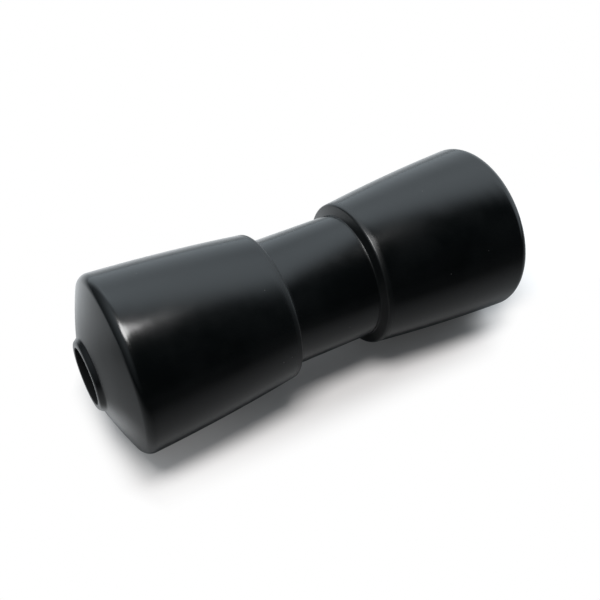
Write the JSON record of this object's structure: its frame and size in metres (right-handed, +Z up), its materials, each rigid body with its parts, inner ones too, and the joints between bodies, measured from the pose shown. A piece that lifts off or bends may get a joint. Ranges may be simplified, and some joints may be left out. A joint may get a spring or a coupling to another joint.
{
  "type": "boat trailer roller",
  "caption": "Moulded rubber boat trailer roller: lobes that widen from a straight neck, shallow conical caps with low bosses, and a plain through bore for a spindle.",
  "frame": {"origin": "on the bore's axis, half way between the two boss faces", "axes": "+Y along the bore, the way the roller spins about its spindle; +Z up as it lies on its lobes; +X completes the frame"},
  "size_m": [0.0756, 0.2, 0.0756],
  "materials": {
    "black_rubber": "satin, as moulded"
  },
  "bodies": {
    "root": {"roller": "black_rubber"}
  },
  "joints": []
}
